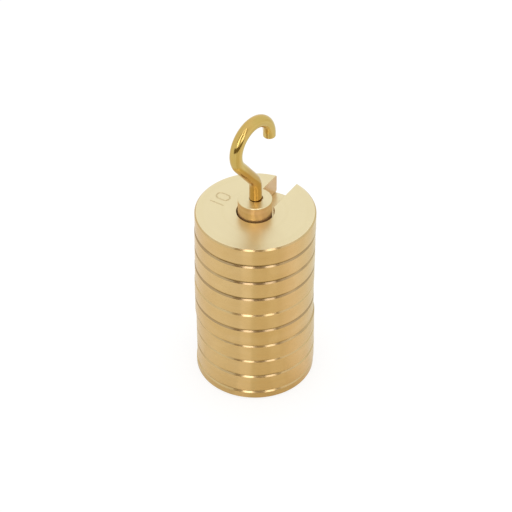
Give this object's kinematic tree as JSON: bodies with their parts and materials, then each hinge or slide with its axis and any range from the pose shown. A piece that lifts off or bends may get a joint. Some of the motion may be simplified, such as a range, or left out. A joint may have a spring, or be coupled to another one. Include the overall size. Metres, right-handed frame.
{
  "type": "slotted weight set",
  "caption": "Stack of round brass weights with keyhole slots on a hanger: a base plate, a stem, a collar that centres the top weight, and a wire hook to hang the set by.",
  "frame": {"origin": "centre of the base plate's underside, on the stem's axis", "axes": "+Z up along the stem, +Y towards the open end of the top weight's slot, +X to the right of it seen from above with +Y up"},
  "size_m": [0.0221, 0.0222, 0.0577],
  "materials": {
    "turned_brass": "lathe-turned brass, satin, pale, with fine turning marks",
    "polished_brass": "turned and polished brass rod",
    "bright_wire": "bright drawn brass wire"
  },
  "bodies": {
    "hanger": {"base_plate": "turned_brass", "stem": "polished_brass", "collar": "polished_brass", "hook": "bright_wire"},
    "weight_1": {"weight_1": "turned_brass"},
    "weight_2": {"weight_2": "turned_brass"},
    "weight_3": {"weight_3": "turned_brass"},
    "weight_4": {"weight_4": "turned_brass"},
    "weight_5": {"weight_5": "turned_brass"},
    "weight_6": {"weight_6": "turned_brass"},
    "weight_7": {"weight_7": "turned_brass"},
    "weight_8": {"weight_8": "turned_brass"},
    "weight_9": {"weight_9": "turned_brass"}
  },
  "joints": [
    {"name": "weight_1_slide", "type": "slide", "parent": "hanger", "child": "weight_1", "axis": [0.9848, 0.1736, 0], "range_m": [0, 0.024]},
    {"name": "weight_2_slide", "type": "slide", "parent": "hanger", "child": "weight_2", "axis": [0.6428, -0.766, 0], "range_m": [0, 0.024]},
    {"name": "weight_3_slide", "type": "slide", "parent": "hanger", "child": "weight_3", "axis": [0.9962, -0.0872, 0], "range_m": [0, 0.024]},
    {"name": "weight_4_slide", "type": "slide", "parent": "hanger", "child": "weight_4", "axis": [0.1736, -0.9848, 0], "range_m": [0, 0.024]},
    {"name": "weight_5_slide", "type": "slide", "parent": "hanger", "child": "weight_5", "axis": [0.766, -0.6428, 0], "range_m": [0, 0.024]},
    {"name": "weight_6_slide", "type": "slide", "parent": "hanger", "child": "weight_6", "axis": [0.9962, 0.0872, 0], "range_m": [0, 0.024]},
    {"name": "weight_7_slide", "type": "slide", "parent": "hanger", "child": "weight_7", "axis": [0.5, -0.866, 0], "range_m": [0, 0.024]},
    {"name": "weight_8_slide", "type": "slide", "parent": "hanger", "child": "weight_8", "axis": [0.9659, -0.2588, 0], "range_m": [0, 0.024]},
    {"name": "weight_9_lift", "type": "slide", "parent": "hanger", "child": "weight_9", "axis": [0, 0, 1], "range_m": [0, 0.007]}
  ]
}
